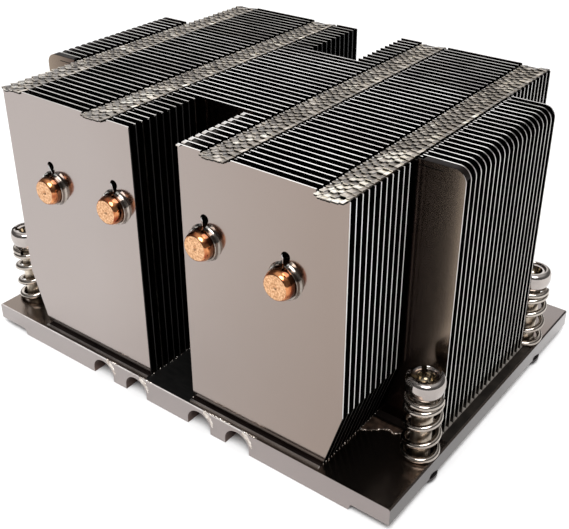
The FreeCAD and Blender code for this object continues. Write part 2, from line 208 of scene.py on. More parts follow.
MAT = {
    "front": drift_metal("front_nickel", (0.39, 0.343, 0.325), (0.3, 0.243, 0.212), (-20, 42), 0.12),
    # Cut edges of the fins: lit and shaded copies of one nickel, picked by which way an edge faces and by
    # row; the lighter copies are painted highlight, the darker ones painted shade
    "edge": metal("edge_nickel", (0.7, 0.67, 0.65), (1.0, 0.98, 0.96), 0.3, 150),
    "edge_mid": metal("edge_middle", (0.42, 0.4, 0.38), (0.7, 0.67, 0.65), 0.3, 150),
    "edge_far": metal("edge_rear", (0.26, 0.24, 0.22), (0.48, 0.45, 0.42), 0.3, 150),
    "edge_side": metal("edge_side", (0.55, 0.52, 0.51), (0.8, 0.77, 0.76), 0.5, 150, metallic=0.75),
    "edge_white": metal("edge_white", (0.85, 0.83, 0.82), (1.0, 1.0, 1.0), 0.6, 150, metallic=0.3),
    # Faces between the fins: the nickel darkened to near black, painted shade
    "inner": metal("inner_painted_shade", (0.03, 0.027, 0.025), (0.06, 0.055, 0.05), 0.25, 60),
    # Faces of the wide fins: darker towards the blocks, painted shade
    "wide": drift_metal("wide_face", (0.062, 0.04, 0.034), (0.25, 0.195, 0.15), (42, 52), 0.2,
                        absolute=True),
    # Tab tops: tab is the plain nickel; tab_dark is painted shade, tab_mid painted light, tab_low the
    # painted shadow under the tabs, tab_bright and tab_edge painted highlights
    "tab": metal("tab_nickel", (0.22, 0.188, 0.16), (0.36, 0.312, 0.266), 0.25, 700),
    "tab_dark": metal("tab_dark", (0.11, 0.092, 0.077), (0.2, 0.17, 0.142), 0.25, 700),
    "tab_mid": metal("tab_light", (0.46, 0.41, 0.36), (0.74, 0.67, 0.59), 0.3, 700, metallic=0.7),
    "tab_low": metal("tab_shade", (0.01, 0.009, 0.008), (0.03, 0.027, 0.024), 0.35, 700),
    "tab_bright": metal("tab_bright", (0.88, 0.8, 0.69), (1.0, 0.98, 0.9), 0.25, 500),
    "tab_edge": metal("tab_edge", (0.78, 0.71, 0.61), (1.0, 0.95, 0.86), 0.5, 500, metallic=0.25),
    # Plate top: lighter towards the rear, a painted reflection
    "plate": drift_metal("plate_nickel", (0.21, 0.17, 0.145), (0.24, 0.21, 0.2), (22, 38), 0.22,
                         scale=40, waver=0.3, axis="Y"),
    # Near-black strips of the plate top beside the wide fins: painted shade
    "rim_shade": metal("plate_rim_shade", (0.012, 0.0095, 0.008), (0.032, 0.026, 0.021), 0.5, 300, metallic=0.6),
    "plate_edge": drift_metal("plate_edge", (0.37, 0.335, 0.325), (0.32, 0.28, 0.27), (-40, 54), 0.3),
    # Bevel along the plate's front top edge: painted highlight
    "rim": metal("plate_rim", (0.6, 0.55, 0.53), (0.8, 0.76, 0.74), 0.5, 300, metallic=0.4),
    # Near-black sheet in the notch between the blocks: painted shade
    "notch_shade": metal("notch_painted_shade", (0.002, 0.002, 0.002), (0.008, 0.0075, 0.007), 0.5, 400,
                  stretch=(1, 3, 1), metallic=0.5),
    # Side faces of the plate: darker than the front edge, painted shade, and lighter towards the rear,
    # painted reflection
    "plate_side": drift_metal("plate_side", (0.095, 0.086, 0.083), (0.3, 0.28, 0.275), (5, 39), 0.12,
                              axis="Y"),
    # Near-black nickel of the bent covers, the first fin's web strip and the wide fins' front step: painted
    # shade
    "cover": metal("cover_nickel", (0.01, 0.0075, 0.007), (0.028, 0.021, 0.019), 0.6, 120),
    # Feet of the wide fins, lighter than the plate: painted highlight
    "foot": metal("foot_line", (0.16, 0.14, 0.125), (0.34, 0.31, 0.28), 0.6, 400, metallic=0.2),
    # Edges facing the notch and underside edges: near black, painted shade
    "faint": metal("faint_edge", (0.012, 0.011, 0.011), (0.04, 0.038, 0.037), 0.5, 200,
                   stretch=(1, 1, 0.2), metallic=0.2),
    "groove": metal("groove", (0.1, 0.07, 0.06), (0.16, 0.11, 0.095), 0.45, 300, bump=0.3),
    "pipe": metal("pipe_copper", (0.75, 0.33, 0.17), (0.9, 0.45, 0.25), 0.22, 150),
    "tip_band": metal("tip_band", (0.28, 0.06, 0.025), (0.82, 0.36, 0.15), 0.14, 500),
    "tip_face": metal("tip_face", (0.5, 0.24, 0.11), (0.92, 0.58, 0.34), 0.4, 2500, bump=0.6),
    "tip_shade": metal("tip_shade", (0.16, 0.055, 0.03), (0.36, 0.17, 0.09), 0.14, 500),
    "shank": metal("shank_nickel", (0.2, 0.16, 0.12), (0.66, 0.58, 0.48), 0.3, 400, stretch=(1, 1, 0.2)),
    "screw": metal("screw_nickel", (0.4, 0.36, 0.34), (0.52, 0.47, 0.44), 0.12, 250),
    # Bowl of the screw heads: darkened, painted shade in the hollow
    "recess": metal("recess_nickel", (0.03, 0.02, 0.012), (0.5, 0.42, 0.3), 0.15, 700, bump=0.6),
    "spring": metal("spring_nickel", (0.36, 0.31, 0.27), (0.52, 0.47, 0.42), 0.12, 250),
    "collar": metal("collar_nickel", (0.17, 0.145, 0.125), (0.42, 0.37, 0.33), 0.12, 500),
    "torn": metal("collar_lips", (0.02, 0.018, 0.016), (0.7, 0.68, 0.64), 0.2, 1500),
    "ring": metal("ring_steel", (0.05, 0.045, 0.045), (0.1, 0.09, 0.09), 0.4, 200),
    # Brown patch on the plate before the right wide fin: painted reflection of the wide fin's face
    "fin_reflection": metal("painted_fin_reflection", (0.01, 0.006, 0.004), (0.07, 0.042, 0.03), 0.35, 900, metallic=0.2,
                  bump=0.5),
    "solder": metal("solder", (0.45, 0.39, 0.34), (0.85, 0.8, 0.74), 0.25, 900, bump=0.5),
}


# Meshes
def make_object(name, verts, faces, materials, face_slots, smooth, body):
    """A mesh piece given in millimetres, riding on a body."""
    mesh = bpy.data.meshes.new(name)
    mesh.from_pydata([Vector(v) * MM for v in verts], [], faces)
    for mat in materials:
        mesh.materials.append(mat)
    mesh.polygons.foreach_set("material_index", face_slots)
    mesh.update()
    obj = bpy.data.objects.new(name, mesh)
    bpy.context.scene.collection.objects.link(obj)
    if smooth:
        shade_smooth(obj)
    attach(obj, body)
    return obj


def shade_smooth(obj, angle=35):
    mesh = obj.data
    mesh.polygons.foreach_set("use_smooth", [True] * len(mesh.polygons))
    mesh.set_sharp_from_angle(angle=math.radians(angle))
    mesh.update()


def cut(obj, tools):
    """Cut the tools' shapes out of a piece and delete the tools."""
    for tool in tools:
        mod = obj.modifiers.new(tool.name, "BOOLEAN")
        mod.object = tool
        mod.solver = "EXACT"
        mod.operation = "DIFFERENCE"
    dg = bpy.context.evaluated_depsgraph_get()
    mesh = bpy.data.meshes.new_from_object(obj.evaluated_get(dg))
    obj.modifiers.clear()
    obj.data = mesh
    for tool in tools:
        bpy.data.objects.remove(tool)


def lying(u, v, w):
    """Place of an outline that lies level."""
    return (u, v, w)


def turning(loop):
    """Twice the area inside a closed outline, positive where it runs anticlockwise."""
    return sum(u * nv - nu * v for (u, v), (nu, nv) in zip(loop, loop[1:] + loop[:1]))


class Builder:
    """Collects faces of one piece, with a material slot for each."""

    def __init__(self):
        self.verts = []
        self.faces = []
        self.slots = []

    def add_face(self, indices, slot):
        self.faces.append(list(indices))
        self.slots.append(slot)

    def join_rings(self, start, rings, steps, slots, flip=False):
        """Quads between rings of points that follow each other from start on."""
        for row in range(rings - 1):
            for k in range(steps):
                n = (k + 1) % steps
                low, high = start + row * steps, start + (row + 1) * steps
                quad = [low + k, low + n, high + n, high + k]
                self.add_face([quad[0], quad[3], quad[2], quad[1]] if flip else quad, slots[row])

    def flat(self, outer, holes, place, low, high, slots):
        """Plate with holes. place(u, v, w) puts the outline at depth w.
        slots: low face, high face, sides."""
        loops = [outer] + list(holes)
        tris = tessellate_polygon([[Vector((u, v, 0)) for u, v in loop] for loop in loops])
        points = [p for loop in loops for p in loop]
        o, a, b, c = (Vector(place(*p)) for p in ((0, 0, 0), (1, 0, 0), (0, 1, 0), (0, 0, 1)))
        hand = (a - o).cross(b - o).dot(c - o)
        base = len(self.verts)
        count = len(points)
        self.verts += [tuple(place(u, v, low)) for u, v in points]
        self.verts += [tuple(place(u, v, high)) for u, v in points]
        for tri in tris:
            p = [Vector((*points[i], 0)) for i in tri]
            up = (p[1] - p[0]).cross(p[2] - p[0]).z * hand > 0
            order = list(tri) if up else list(reversed(tri))
            self.add_face([base + count + i for i in order], slots[1])
            self.add_face([base + i for i in reversed(order)], slots[0])
        start = base
        for loop in loops:
            size = len(loop)
            forward = (turning(loop) * hand > 0) == (loop is outer)
            for i in range(size):
                j = (i + 1) % size
                quad = [start + i, start + j, start + count + j, start + count + i]
                self.add_face(quad if forward else reversed(quad), slots[2])
            start += size

    def flange(self, across, along, thick, slots=(0, 0, 0)):
        """Thin rectangle lying on the plate, between two values of x and two of y."""
        (x0, x1), (y0, y1) = across, along
        outline = [(x0, y0), (x1, y0), (x1, y1), (x0, y1)]
        self.flat(outline, [], lying, PLATE_Z, PLATE_Z + thick, slots)

    def slab(self, span, depth, heights, thick, slots):
        """Sloped sheet. heights: near left, near right, far right, far left.
        slots: top, front, right side, others."""
        (x0, x1), (y0, y1) = span, depth
        corners = [(x0, y0), (x1, y0), (x1, y1), (x0, y1)]
        start = len(self.verts)
        self.verts += [(u, v, h - thick) for (u, v), h in zip(corners, heights)]
        self.verts += [(u, v, h) for (u, v), h in zip(corners, heights)]
        top, front, right, other = slots
        for face, slot in (((4, 5, 6, 7), top), ((0, 1, 5, 4), front), ((1, 2, 6, 5), right),
                           ((2, 3, 7, 6), other), ((3, 0, 4, 7), other), ((3, 2, 1, 0), other)):
            self.add_face([start + i for i in face], slot)

    def revolve(self, profile, centre, steps, slots, axis="z", close_low=True, close_high=True):
        """Turned form from (radius, height) pairs about an axis through centre. slots: one a band."""
        cx, cy, cz = centre
        start = len(self.verts)
        for r, h in profile:
            for k in range(steps):
                t = 2 * math.pi * k / steps
                a, b = r * math.cos(t), r * math.sin(t)
                if axis == "z":
                    self.verts.append((cx + a, cy + b, cz + h))
                else:
                    self.verts.append((cx + a, cy + h, cz - b))
        self.join_rings(start, len(profile), steps, slots)
        if close_low:
            self.add_face([start + k for k in reversed(range(steps))], slots[0])
        if close_high:
            self.add_face([start + (len(profile) - 1) * steps + k for k in range(steps)], slots[-1])

    def sweep(self, path, radius, steps, up=Vector((0, 0, 1)), milled=None):
        """Round tube along a list of points, with closed ends.
        milled: no point lies below this height."""
        path = [Vector(p) for p in path]
        start = len(self.verts)
        for i, p in enumerate(path):
            before = path[max(i - 1, 0)]
            after = path[min(i + 1, len(path) - 1)]
            along = (after - before).normalized()
            side = along.cross(up).normalized()
            above = side.cross(along)
            for k in range(steps):
                t = 2 * math.pi * k / steps
                q = p + side * (radius * math.cos(t)) + above * (radius * math.sin(t))
                if milled is not None:
                    q.z = max(q.z, milled)
                self.verts.append(tuple(q))
        self.join_rings(start, len(path), steps, [0] * len(path), flip=True)
        self.add_face([start + k for k in range(steps)], 0)
        self.add_face([start + (len(path) - 1) * steps + k for k in reversed(range(steps))], 0)

    def build(self, name, finishes, body="heatsink", smooth=False, slot=None, replaces=()):
        materials = [MAT[finish] for finish in finishes]
        obj = make_object(name, self.verts, self.faces, materials, self.slots, smooth, body)
        if replaces:
            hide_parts(*replaces)
        return obj


def arc(cx, cz, radius, start, end, steps):
    angles = [math.radians(start + (end - start) * i / steps) for i in range(steps + 1)]
    return [(cx + radius * math.cos(t), cz + radius * math.sin(t)) for t in angles]


def circle(cx, cz, radius, steps):
    return arc(cx, cz, radius, 0, 360, steps)[:-1]


def mirrored(side, near, far):
    """Two distances from the middle as values of x, the lower one first."""
    return sorted((side * near, side * far))


def tip_place(pipe):
    sideways = TIPS[pipe] - GROOVES[pipe]
    return TIPS[pipe], PIPE_Z + math.sqrt(LEG ** 2 - sideways ** 2)


def lean(pipe):
    """Direction from a pipe's lower leg to its upper one."""
    x, z = tip_place(pipe)
    return (x - GROOVES[pipe]) / LEG, (z - PIPE_Z) / LEG


# Fins: finishes by their place in a row's list of materials
(FRONT, INNER, TOP_RIGHT, WIDE_SKIN, TAB, TAB_BRIGHT, TAB_LOW, SIDE, TAB_MID, FOOT, TOP_LEFT,
 FAINT, FAR_EDGE, COVER, TAB_DARK, TAB_EDGE) = range(16)


def row_finishes(row):
    """Names of the materials of one row, in the order above."""
    # Top edges: the right block's and the front rows' lighter (painted highlight), the left block's and the
    # rear rows' darker (painted shade); side edges of the narrow rows near white, painted highlight
    top_right, top_left = ("edge", "edge_mid") if row < 30 else ("edge_mid", "edge_far")
    side = "edge_white" if row < FIRST_WIDE else "edge_side"
    return ["front", "inner", top_right, "wide", "tab", "tab_bright", "tab_low", side, "tab_mid",
            "foot", top_left, "faint", "edge_far", "cover", "tab_dark", "tab_edge"]


def shine(strip, row, index):
    """Finish of the top of one step: plain and dark (painted shade) in turns, with light (painted light) and
    bright (painted highlight) ones by chance.
    """
    bright = 0.05
    if strip == RIGHTMOST:
        if row == 0:
            bright = 1.0
        elif row in (2, 3, 10, 11, 12) and 1 <= index <= 4:
            bright = 0.75
    elif strip == INNER_LEFT and 3 <= row <= 13 and index in (2, 3):
        bright = 0.35
    pick = random.random()
    if pick < bright:
        return TAB_BRIGHT
    if pick > 0.87:
        return TAB_MID
    return TAB_DARK if (index + row) % 2 and pick < 0.75 else TAB


def add_tab(b, strip, face_y, row):
    """Folded tab with a stepped front edge, which lies over the tab in front of it."""
    last = len(STEPS) - 1
    for index, (u0, u1, ahead) in enumerate(STEPS):
        if row == 0:
            ahead = FIRST_STEPS[index] * FIRST_REACH[strip]
        near = face_y - ahead + random.uniform(-0.06, 0.06)
        far = min(max(near + PITCH + TAB_OVERLAP, face_y + 0.1), PLATE_Y - 0.1)
        level = FIN_TOP - 0.01 - random.uniform(0.02, 0.06)
        tilt = random.uniform(-0.02, 0.02)
        fall = TAB_SLOPE * (far - near) * (0.6 if index == last else 1)
        heights = [level + tilt, level - tilt, level - tilt - fall, level + tilt - fall]
        span = (STRIP_X[strip] + u0 + TAB_GAP, STRIP_X[strip] + u1 - TAB_GAP)
        plain_front = row == 0 and (strip != RIGHTMOST or index in (2, 3))
        # Front edge: painted highlight of tab_edge, plain on most of the first row; right side: painted
        # highlight, on the last step painted shade; the rest painted shadow
        slots = (shine(strip, row, index), TAB if plain_front else TAB_EDGE,
                 TAB_DARK if index == last else SIDE, TAB_LOW)
        b.slab(span, (near, far), heights, TAB_SHEET, slots)
        inset = (span[0] + 0.04, span[1] - 0.04)
        # Dark slab under each tab: painted shadow
        b.slab(inset, (near + 0.03, far), [h - TAB_SHEET for h in heights], TAB_SHADOW, (TAB_LOW,) * 4)


def corner_tab(b, face_y, row):
    """Small folded ear at the inner top corner of the right block."""
    reach = 0.4 if row == 0 else 0.75
    heights = [FIN_TOP - drop for drop in (0.06, 0.1, 0.02, 0.01)]
    # Top in the darker edge copy, painted shade; front in tab_mid, painted light; the rest painted shadow
    b.slab((BLOCK_IN + 0.02, BLOCK_IN + 0.85), (face_y - reach, face_y + 0.05), heights, 0.2,
           (TOP_LEFT, TAB_MID, TAB_LOW, TAB_LOW))


def top_edge(side, wide):
    """Top edge of one block from the outside in, lowered under its strips."""
    points = []
    for near, far in reversed(STRIP_CUTS[side]):
        if wide or far < BLOCK_OUT:
            points.append((far, FIN_TOP))
        else:
            far = BLOCK_OUT
        points += [(far, FIN_TOP - CUT_DEPTH), (near, FIN_TOP - CUT_DEPTH), (near, FIN_TOP)]
    return points


def wide_outline():
    half = [(WIDE_OUT, PLATE_Z), (WIDE_OUT, PLATE_Z + 3.5)]
    half += arc(WIDE_OUT - WIDE_R, FIN_TOP - WIDE_R, WIDE_R, 0, 90, 12)
    right = half + top_edge(1, True)
    left = half + top_edge(-1, True)
    return right + [(-x, z) for x, z in reversed(left)]


def narrow_outline(side):
    foot = [(BLOCK_IN, PLATE_Z), (BLOCK_FOOT, PLATE_Z), (BLOCK_OUT, BLOCK_CHAMFER_Z)]
    return foot + top_edge(side, False) + [(BLOCK_IN, FIN_TOP)]


def slot_outline(pipe):
    """Leaning slot open at the fin's foot, round at its upper end."""
    lx, lz = lean(pipe)
    tx, tz = tip_place(pipe)
    points = []
    for i in range(13):
        t = math.pi * i / 12
        across, up = -SLOT_R * math.cos(t), SLOT_R * math.sin(t)
        points.append((tx + lz * across + lx * up, tz - lx * across + lz * up))

    def foot(across):
        px, pz = tx + lz * across, tz - lx * across
        k = (pz - PLATE_Z) / lz
        return (px - lx * k, PLATE_Z)

    return [foot(-SLOT_R)] + points + [foot(SLOT_R)]


def rear_outline(side):
    """Narrow fin at the U bends: one outline that runs up and down its two slots."""
    inner = slot_outline(0)
    shape = [(BLOCK_IN, WEB_TOP - BLOCK_IN), (TIPS[0] - 3.1, WEB_TOP + 2)]
    shape += [p for p in inner if p[1] > WEB_TOP + 3]
    shape += [inner[-1]] + slot_outline(1)
    shape += [(BLOCK_FOOT, PLATE_Z), (BLOCK_OUT, BLOCK_CHAMFER_Z)]
    return shape + top_edge(side, False) + [(BLOCK_IN, FIN_TOP)]


def keyhole_opening(pipe, side):
    """Pipe hole of the front fin with a round keyhole above it."""
    tx, tz = tip_place(pipe)
    neck = math.degrees(math.asin(KEYHOLE_NECK / HOLE_R))
    shift = 0.5 if (pipe, side) == (1, -1) else 0.12
    ring = arc(tx, tz, HOLE_R, 90 + neck, 450 - neck, 40)
    return ring + arc(tx + shift, tz + KEYHOLE_RISE, KEYHOLE_R, -40, 220, 14)


def add_sheets(b, row, face_y):
    """The one or two flat sheets of a row, with their pipe openings."""
    # Faces that look onto the next fin take the near-black inner finish: painted shade
    front = FRONT if row == 0 else (WIDE_SKIN if row == FIRST_WIDE else INNER)
    back = {LAST_WIDE: WIDE_SKIN, ROWS - 1: FRONT}.get(row, INNER)
    slots = (front, back, TOP_RIGHT)
    if FIRST_WIDE <= row <= LAST_WIDE:
        holes = [circle(side * tip_place(pipe)[0], tip_place(pipe)[1], HOLE_R, 24)
                 for side in (-1, 1) for pipe in (0, 1)]
        b.flat(wide_outline(), holes, lambda u, v, w: (u, face_y + w, v), 0, FIN_SHOWN, slots)
        return
    for side in (-1, 1):
        outline, holes = narrow_outline(side), []
        if face_y + FIN_T > SLOT_FRONT:
            outline = rear_outline(side)
        elif row == 0:
            holes = [keyhole_opening(pipe, side) for pipe in (0, 1)]
        else:
            holes = [circle(*tip_place(pipe), HOLE_R, 24) for pipe in (0, 1)]
        b.flat(outline, holes, lambda u, v, w, side=side: (side * u, face_y + w, v), 0, FIN_SHOWN, slots)


def add_cover(b, face_y):
    """Painted shade line and bent cover, near black as painted shade, at the outer top corners of the first
    wide fin.
    """
    for side in (-1, 1):
        low, high = mirrored(side, *COVER_LINE)
        bottom, top = FIN_TOP - 1.12, FIN_TOP - 0.98
        line = [(low, bottom), (high, bottom), (high, top), (low, top)]
        b.flat(line, [], lambda u, v, w: (u, face_y + w, v), -0.06, 0, (TAB_LOW,) * 3)
        centre = (WIDE_OUT - WIDE_R, FIN_TOP - WIDE_R)
        cover = arc(*centre, WIDE_R, 15, 90, 10) + [(43.6, FIN_TOP), (43.6, FIN_TOP - 0.15)]
        cover += arc(*centre, WIDE_R - 0.15, 90, 15, 10)
        b.flat(cover, [], lambda u, v, w, side=side: (side * u, face_y + w, v), 0.1, PITCH - 0.02,
               (COVER,) * 3)


def edge_finish(points, row):
    """Finish of one face of a sheet's cut edge, from its corners: lighter and darker copies by which way it
    faces, painted highlight and painted shade.
    """
    wide = FIRST_WIDE <= row <= LAST_WIDE
    corners = [Vector(p) for p in points]
    normal = (corners[1] - corners[0]).cross(corners[2] - corners[0]).normalized()
    x = corners[0].x
    if abs(normal.x) > 0.7 and normal.z > -0.1:
        # Side faces just under the top edge take the near-black inner finish: painted shade
        if min(p.z for p in corners[:3]) > FIN_TOP - 0.6:
            return INNER
        if wide and max(p.z for p in corners) < PLATE_Z + 4:
            return FOOT
        # Edges facing the notch: near black, painted shade, with lighter lines on rows 2 and 10 as painted
        # highlight
        if abs(x) < BLOCK_IN + 0.1:
            return FAR_EDGE if row in (2, 10) else FAINT
        return SIDE
    if normal.z < -0.1:
        return FAINT
    if row == FIRST_WIDE and normal.z > 0.2 and abs(x) > BLOCK_OUT:
        return COVER
    return TOP_LEFT if x < 0 else TOP_RIGHT


def fin_row(row):
    face_y = FIRST_FACE + PITCH * row
    b = Builder()
    add_sheets(b, row, face_y)
    for side, strips in ((-1, (INNER_LEFT, LEFTMOST)), (1, (INNER_RIGHT, RIGHTMOST))):
        for strip in strips:
            add_tab(b, strip, face_y, row)
        if side > 0 and row < FIRST_WIDE:
            corner_tab(b, face_y, row)
        if row == 0:
            across = mirrored(side, BLOCK_IN, BLOCK_FOOT)
            b.flange(across, (face_y - 1.15, face_y - 0.7), 0.3, (TOP_RIGHT,) * 3)
            # Near-black strip between the flange and the fin: painted shade
            b.flange(across, (face_y - 0.7, face_y), 0.15, (COVER,) * 3)
    if row == FIRST_WIDE:
        add_cover(b, face_y)
    if FIRST_WIDE <= row <= LAST_WIDE:
        for side in (-1, 1):
            across = mirrored(side, BLOCK_OUT, WIDE_OUT)
            # Flanges under the wide fins, with the light foot finish on top and sides: painted highlight
            b.flange(across, (face_y, face_y + PITCH), 0.22, (TAB_LOW, FOOT, FOOT))
    for index, face in enumerate(b.faces):
        if b.slots[index] == TOP_RIGHT:
            b.slots[index] = edge_finish([b.verts[i] for i in face], row)
    return b.build(f"fin_sheet_{row + 1:02d}", row_finishes(row), slot="plated_fin",
                   replaces=[f"fin_row_{row + 1:02d}"])


for row in range(ROWS):
    fin_row(row)


# Collars of the front fin
def front_collar(number, x, z):
    """Drawn collar, split at the keyhole, with its lips bent outwards beside the split."""
    b = Builder()
    inner, outer = HOLE_R, PIPE_R + 0.38
    y0, y1 = FIRST_FACE - 1.0, FIRST_FACE
    steps = 56
    gap = math.degrees(math.asin(0.55 / outer))
    for i in range(steps + 1):
        share = i / steps
        t = math.radians(90 + gap + (360 - 2 * gap) * share)
        flare = 0.3 * max(0.0, 1 - min(share, 1 - share) * 14)
        section = [(inner, y1), (outer + 0.3, y1), (outer + 0.05, y1 - 0.22), (outer, y1 - 0.4),
                   (outer + flare * 0.6, y0 + 0.3), (outer + flare - 0.02, y0 + 0.08),
                   (outer + flare - 0.12, y0), (inner + flare, y0 + 0.02), (inner, y0 + 0.3)]
        b.verts += [(x + r * math.cos(t), y, z + r * math.sin(t)) for r, y in section]
    ring = len(section)
    for i in range(steps):
        share = (i + 0.5) / steps
        for k in range(ring):
            n = (k + 1) % ring
            b.add_face([i * ring + k, i * ring + n, (i + 1) * ring + n, (i + 1) * ring + k],
                       1 if share < 0.12 or share > 0.965 else 0)
    b.add_face(reversed(range(ring)), 1)
    b.add_face([steps * ring + k for k in range(ring)], 1)
    return b.build(f"front_collar_{number}", ["collar", "torn"], smooth=True, slot="plated_fin")


for number, (pipe, side) in enumerate(PIPES, start=1):
    tx, tz = tip_place(pipe)
    front_collar(number, side * tx, tz)


# Heat pipes
def heat_pipe(number, pipe, side):
    """U shaped pipe, milled flat at the contact face, with a pressed tip at the front."""
    lx, lz = lean(pipe)

    def place(y, up):
        return Vector((side * (GROOVES[pipe] + lx * up), y, PIPE_Z + lz * up))

    bend = RISER_Y - BEND_R
    quarter = [math.pi / 2 * i / 16 for i in range(17)]
    path = [place(-PLATE_Y + 7, 0)]
    path += [place(bend + BEND_R * math.sin(t), BEND_R * (1 - math.cos(t))) for t in quarter]
    path += [place(bend + BEND_R * math.cos(t), LEG - BEND_R + BEND_R * math.sin(t)) for t in quarter]
    tip_y = FIRST_FACE - TIP_REACH
    path.append(place(tip_y + 2.0, LEG))
    b = Builder()
    b.sweep(path, PIPE_R, 40, up=Vector((side * lz, 0, -lx)), milled=0.0)
    tx, tz = tip_place(pipe)
    tip = (side * tx, tip_y, tz)
    shoulder = [(PIPE_R, 2.0), (PIPE_R, 1.35), (PIPE_R - 0.06, 1.0), (PIPE_R - 0.17, 0.65),
                (PIPE_R - 0.34, 0.3), (PIPE_R - 0.48, 0.08), (PIPE_R - 0.6, 0.0)]
    b.revolve(shoulder, tip, 48, [3, 3, 1, 1, 1, 1], axis="y", close_low=False, close_high=False)
    face = [(2.4, 0.0), (2.28, 0.05), (2.1, 0.02), (1.7, 0.05), (1.3, 0.03), (0.8, 0.06), (0.45, 0.06),
            (0.25, 0.2), (0.05, 0.28)]
    b.revolve(face, tip, 48, [2] * 8, axis="y", close_low=False)
    return b.build(f"copper_pipe_{number}", ["pipe", "tip_band", "tip_face", "tip_shade"], smooth=True,
                   slot="copper_pipe", replaces=[f"heat_pipe_{number}"])


for number, (pipe, side) in enumerate(PIPES, start=1):
    heat_pipe(number, pipe, side)


# Base plate
def plate_outline():
    """Underside with arched grooves, from left to right, then the top back to the left."""
    points = [(-PLATE_X, FLANGE_Z), (-PAD_TOP, FLANGE_Z), (-PAD_FOOT, 0.0)]
    r = PIPE_R + 0.05
    for x in GROOVE_XS:
        points.append((x - r, 0.0))
        points += arc(x, PIPE_Z, r, 180, 0, 20)
        points.append((x + r, 0.0))
    points += [(PAD_FOOT, 0.0), (PAD_TOP, FLANGE_Z), (PLATE_X, FLANGE_Z)]
    points += [(PLATE_X, PLATE_Z - PLATE_CHAMFER), (PLATE_X - PLATE_CHAMFER, PLATE_Z)]
    points += [(-PLATE_X + PLATE_CHAMFER, PLATE_Z), (-PLATE_X, PLATE_Z - PLATE_CHAMFER)]
    return points


def bend_cutter(side, pipe):
    """Tool for the plate's slot round one U bend, open to the rear."""
    lx, lz = lean(pipe)
    far = GROOVES[pipe] + (PLATE_Z - PIPE_Z) * lx / lz + SLOT_R
    x0, x1 = mirrored(side, GROOVES[pipe] - SLOT_R, far)
    corner = 1.5
    outline = [(x0, PLATE_Y + 2), (x0, SLOT_FRONT + corner), (x0 + corner, SLOT_FRONT),
               (x1 - corner, SLOT_FRONT), (x1, SLOT_FRONT + corner), (x1, PLATE_Y + 2)]
    c = Builder()
    c.flat(outline, [], lying, -2, PLATE_Z + 2, (0, 0, 0))
    return c


def base_plate():
    """Plate with screw holes, slots for the bends and a bevel along its front top edge."""
    b = Builder()
    b.flat(plate_outline(), [], lambda u, v, w: (u, w, v), -PLATE_Y, PLATE_Y, (0, 0, 0))
    obj = b.build("plated_plate", ["plate", "plate_edge", "groove", "plate_side", "rim"],
                  slot="plated_base", replaces=["base_plate"])
    cutters = []
    for x, y in SCREWS.values():
        c = Builder()
        c.revolve([(SCREW_HOLE_R, -3), (SCREW_HOLE_R, PLATE_Z + 3.8)], (x, y, 0), 40, [0])
        cutters.append(c)
    cutters += [bend_cutter(side, pipe) for side in (-1, 1) for pipe in (0, 1)]
    c = Builder()
    bevel, past = 0.2, 0.01
    wedge = [(-PLATE_Y + bevel, PLATE_Z + past), (-PLATE_Y - past, PLATE_Z + past),
             (-PLATE_Y - past, PLATE_Z - bevel)]
    c.flat(wedge, [], lambda u, v, w: (w, u, v), -PLATE_X - 1, 22.0, (0, 0, 0))
    cutters.append(c)
    cut(obj, [c.build(f"cutter_{k}", ["groove"]) for k, c in enumerate(cutters)])
    return obj


def paint_plate(obj):
    """Top, edges and groove walls each get their own finish; the front bevel is a painted highlight and the
    side faces carry painted shade.
    """
    top, edge, groove, side, rim = range(5)
    for poly in obj.data.polygons:
        n, c = poly.normal, poly.center / MM
        in_groove = (abs(c.x) < 22.5 and c.z < 4.4 and (n.z < -0.01 or abs(n.x) > 0.5)
                     and abs(c.y) < PLATE_Y - 0.1)
        if n.z > 0.3 and abs(n.y) > 0.3:
            poly.material_index = rim
        elif n.z > 0.5:
            poly.material_index = top
        elif in_groove:
            poly.material_index = groove
        elif abs(n.x) > 0.5:
            poly.material_index = side
        else:
            poly.material_index = edge


paint_plate(base_plate())


def notch_shade_sheet():
    """Near-black sheet on the plate between the two blocks, in front of the wide fins: painted shade."""
    b = Builder()
    b.flange((-BLOCK_IN, BLOCK_IN), (-PLATE_Y + 0.3, WIDE_BANK), 0.02)
    return b.build("notch_shade_sheet", ["notch_shade"], slot="plated_base")


def shaded_plate_rims():
    """Near-black strips of the plate's top outside the feet of the wide fins: painted shade."""
    b = Builder()
    for side in (-1, 1):
        across = mirrored(side, WIDE_OUT + 0.05, PLATE_X - PLATE_CHAMFER)
        b.flange(across, (WIDE_BANK, FIRST_FACE + PITCH * (LAST_WIDE + 1)), 0.02)
    return b.build("plate_rims", ["rim_shade"], slot="plated_base")


notch_shade_sheet()
shaded_plate_rims()


# Solder left by the assembly, the wide fins' front flange, and a painted reflection on the plate
def blobs(name, places):
    """Small uneven beads, each given as (x, y, z, across, out, up)."""
    b = Builder()
    sides = 9
    latitudes = (-80, -40, 0, 40, 80)
    for x, y, z, ax, ay, az in places:
        start = len(b.verts)
        for latitude in latitudes:
            c, h = math.cos(math.radians(latitude)), math.sin(math.radians(latitude))
            for k in range(sides):
                t = 2 * math.pi * k / sides
                wob = random.uniform(0.75, 1.0)
                b.verts.append((x + ax * c * math.cos(t) * wob, y + ay * c * math.sin(t) * wob, z + az * h))
        b.join_rings(start, len(latitudes), sides, [0] * len(latitudes))
        b.add_face([start + k for k in reversed(range(sides))], 0)
        b.add_face([start + (len(latitudes) - 1) * sides + k for k in range(sides)], 0)
    return b.build(name, ["solder"], smooth=True, slot="plated_base")


